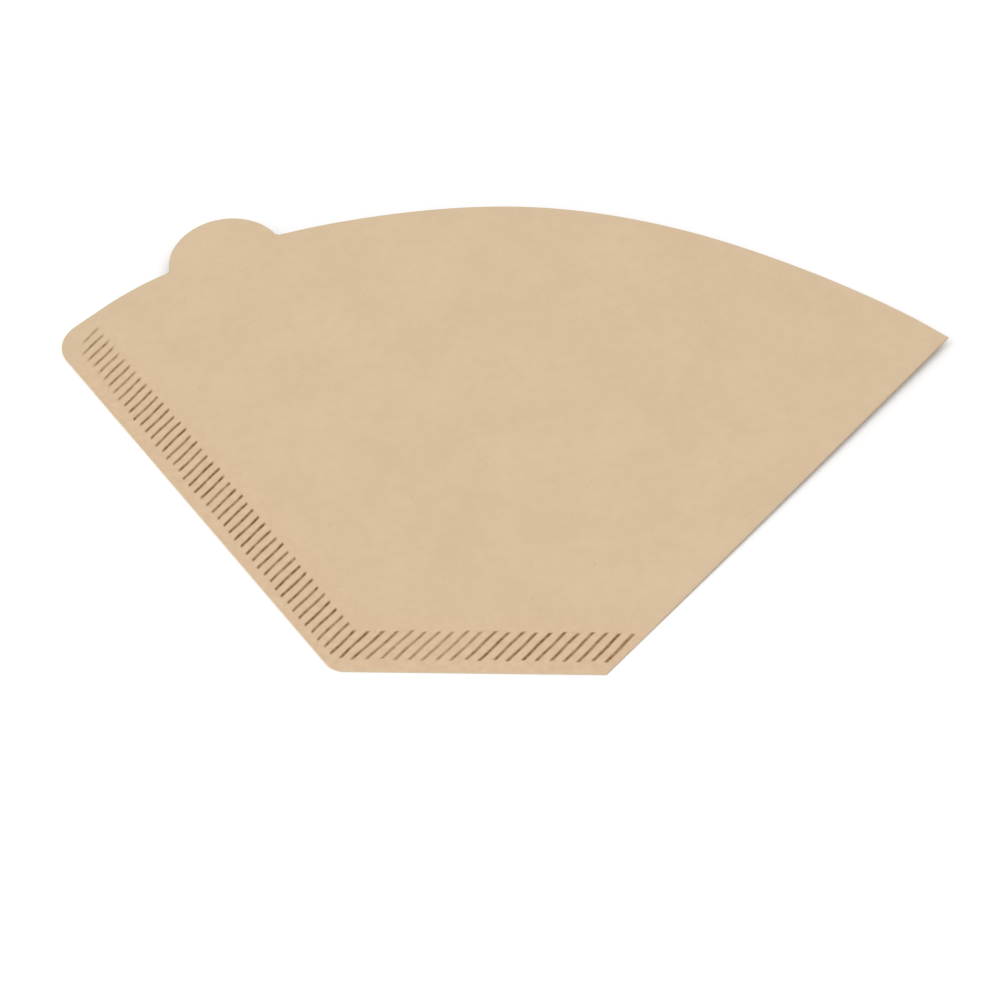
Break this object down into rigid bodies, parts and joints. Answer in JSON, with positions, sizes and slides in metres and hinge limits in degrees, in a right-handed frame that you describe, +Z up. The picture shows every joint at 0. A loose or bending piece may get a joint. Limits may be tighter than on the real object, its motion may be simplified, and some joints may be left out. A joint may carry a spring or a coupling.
{
  "type": "paper coffee filter",
  "caption": "Flat fan-shaped paper coffee filter: a sheet folded along one slanted side, crimped along the other and along the bottom, with a round tab at the open curved mouth.",
  "frame": {"origin": "middle of the bounding box in plan, at the height of the surface that the filter lies on", "axes": "+Z up out of the lying filter, +Y from the crimped bottom edge towards the open mouth, +X from the crimped side towards the fold"},
  "size_m": [0.1648, 0.1138, 0.0042],
  "materials": {
    "filter_paper": "matte unbleached paper with a faint fibre mottle"
  },
  "bodies": {
    "root": {"paper_filter": "filter_paper"}
  },
  "joints": []
}
